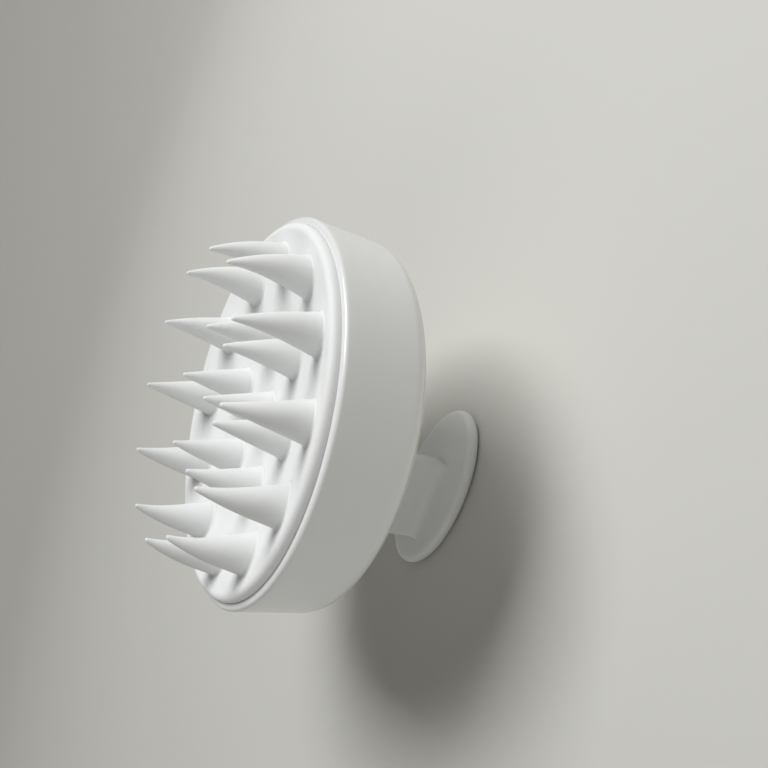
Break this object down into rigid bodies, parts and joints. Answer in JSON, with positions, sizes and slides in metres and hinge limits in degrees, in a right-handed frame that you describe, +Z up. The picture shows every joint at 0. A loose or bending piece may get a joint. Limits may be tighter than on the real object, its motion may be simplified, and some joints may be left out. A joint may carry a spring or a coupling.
{
  "type": "scalp massager brush",
  "caption": "Round hand-held scalp massager: a glossy shell with a dished silicone face of soft bending prongs and an off-centre oval finger handle.",
  "frame": {"origin": "on the floor, under the middle of the box round the brush as it stands on the flat back of its handle plate", "axes": "+Z up, the way the prongs face, -Y the side that the handle is offset to, X across the brush's plane of symmetry"},
  "size_m": [0.0824, 0.0826, 0.0707],
  "materials": {
    "shell": "gloss white",
    "handle": "gloss milky white",
    "silicone": "matte white",
    "backing_plate": "matte white",
    "screws": "zinc plated"
  },
  "bodies": {
    "body": {"shell": "shell", "handle": "handle", "handle_screws": "screws", "backing_plate": "backing_plate", "plate_screws": "screws", "soft_pad": "silicone"},
    "prong_outer_01": {"prong_outer_01": "silicone"},
    "prong_outer_02": {"prong_outer_02": "silicone"},
    "prong_outer_03": {"prong_outer_03": "silicone"},
    "prong_outer_04": {"prong_outer_04": "silicone"},
    "prong_outer_05": {"prong_outer_05": "silicone"},
    "prong_outer_06": {"prong_outer_06": "silicone"},
    "prong_outer_07": {"prong_outer_07": "silicone"},
    "prong_outer_08": {"prong_outer_08": "silicone"},
    "prong_outer_09": {"prong_outer_09": "silicone"},
    "prong_outer_10": {"prong_outer_10": "silicone"},
    "prong_outer_11": {"prong_outer_11": "silicone"},
    "prong_outer_12": {"prong_outer_12": "silicone"},
    "prong_inner_01": {"prong_inner_01": "silicone"},
    "prong_inner_02": {"prong_inner_02": "silicone"},
    "prong_inner_03": {"prong_inner_03": "silicone"},
    "prong_inner_04": {"prong_inner_04": "silicone"},
    "prong_inner_05": {"prong_inner_05": "silicone"},
    "prong_inner_06": {"prong_inner_06": "silicone"},
    "prong_middle": {"prong_middle": "silicone"}
  },
  "joints": [
    {"name": "bend_outer_01", "type": "hinge", "parent": "body", "child": "prong_outer_01", "pos_m": [0.00809, -0.03044, 0.05121], "axis": [0.9659, 0.2581, 0.0194], "range_deg": [-18, 18], "stiffness_Nm_per_rad": 0.03},
    {"name": "bend_outer_02", "type": "hinge", "parent": "body", "child": "prong_outer_02", "pos_m": [0.0221, -0.02238, 0.05182], "axis": [0.7071, 0.7051, 0.053], "range_deg": [-18, 18], "stiffness_Nm_per_rad": 0.03},
    {"name": "bend_outer_03", "type": "hinge", "parent": "body", "child": "prong_outer_03", "pos_m": [0.03019, -0.00841, 0.05287], "axis": [0.2588, 0.9632, 0.0724], "range_deg": [-18, 18], "stiffness_Nm_per_rad": 0.03},
    {"name": "bend_outer_04", "type": "hinge", "parent": "body", "child": "prong_outer_04", "pos_m": [0.03019, 0.00772, 0.05408], "axis": [-0.2588, 0.9632, 0.0724], "range_deg": [-18, 18], "stiffness_Nm_per_rad": 0.03},
    {"name": "bend_outer_05", "type": "hinge", "parent": "body", "child": "prong_outer_05", "pos_m": [0.0221, 0.02169, 0.05513], "axis": [-0.7071, 0.7051, 0.053], "range_deg": [-18, 18], "stiffness_Nm_per_rad": 0.03},
    {"name": "bend_outer_06", "type": "hinge", "parent": "body", "child": "prong_outer_06", "pos_m": [0.00809, 0.02976, 0.05574], "axis": [-0.9659, 0.2581, 0.0194], "range_deg": [-18, 18], "stiffness_Nm_per_rad": 0.03},
    {"name": "bend_outer_07", "type": "hinge", "parent": "body", "child": "prong_outer_07", "pos_m": [-0.00809, 0.02976, 0.05574], "axis": [-0.9659, -0.2581, -0.0194], "range_deg": [-18, 18], "stiffness_Nm_per_rad": 0.03},
    {"name": "bend_outer_08", "type": "hinge", "parent": "body", "child": "prong_outer_08", "pos_m": [-0.0221, 0.02169, 0.05513], "axis": [-0.7071, -0.7051, -0.053], "range_deg": [-18, 18], "stiffness_Nm_per_rad": 0.03},
    {"name": "bend_outer_09", "type": "hinge", "parent": "body", "child": "prong_outer_09", "pos_m": [-0.03019, 0.00772, 0.05408], "axis": [-0.2588, -0.9632, -0.0724], "range_deg": [-18, 18], "stiffness_Nm_per_rad": 0.03},
    {"name": "bend_outer_10", "type": "hinge", "parent": "body", "child": "prong_outer_10", "pos_m": [-0.03019, -0.00841, 0.05287], "axis": [0.2588, -0.9632, -0.0724], "range_deg": [-18, 18], "stiffness_Nm_per_rad": 0.03},
    {"name": "bend_outer_11", "type": "hinge", "parent": "body", "child": "prong_outer_11", "pos_m": [-0.0221, -0.02238, 0.05182], "axis": [0.7071, -0.7051, -0.053], "range_deg": [-18, 18], "stiffness_Nm_per_rad": 0.03},
    {"name": "bend_outer_12", "type": "hinge", "parent": "body", "child": "prong_outer_12", "pos_m": [-0.00809, -0.03044, 0.05121], "axis": [0.9659, -0.2581, -0.0194], "range_deg": [-18, 18], "stiffness_Nm_per_rad": 0.03},
    {"name": "bend_inner_01", "type": "hinge", "parent": "body", "child": "prong_inner_01", "pos_m": [0.0081, -0.01414, 0.04984], "axis": [0.866, 0.4986, 0.0375], "range_deg": [-18, 18], "stiffness_Nm_per_rad": 0.03},
    {"name": "bend_inner_02", "type": "hinge", "parent": "body", "child": "prong_inner_02", "pos_m": [0.0162, -0.00015, 0.05089], "axis": [0, 0.9972, 0.075], "range_deg": [-18, 18], "stiffness_Nm_per_rad": 0.03},
    {"name": "bend_inner_03", "type": "hinge", "parent": "body", "child": "prong_inner_03", "pos_m": [0.0081, 0.01384, 0.05194], "axis": [-0.866, 0.4986, 0.0375], "range_deg": [-18, 18], "stiffness_Nm_per_rad": 0.03},
    {"name": "bend_inner_04", "type": "hinge", "parent": "body", "child": "prong_inner_04", "pos_m": [-0.0081, 0.01384, 0.05194], "axis": [-0.866, -0.4986, -0.0375], "range_deg": [-18, 18], "stiffness_Nm_per_rad": 0.03},
    {"name": "bend_inner_05", "type": "hinge", "parent": "body", "child": "prong_inner_05", "pos_m": [-0.0162, -0.00015, 0.05089], "axis": [0, -0.9972, -0.075], "range_deg": [-18, 18], "stiffness_Nm_per_rad": 0.03},
    {"name": "bend_inner_06", "type": "hinge", "parent": "body", "child": "prong_inner_06", "pos_m": [-0.0081, -0.01414, 0.04984], "axis": [0.866, -0.4986, -0.0375], "range_deg": [-18, 18], "stiffness_Nm_per_rad": 0.03},
    {"name": "bend_middle", "type": "hinge", "parent": "body", "child": "prong_middle", "pos_m": [0, -0.00008, 0.04995], "axis": [1, 0, 0], "range_deg": [-18, 18], "stiffness_Nm_per_rad": 0.03}
  ]
}
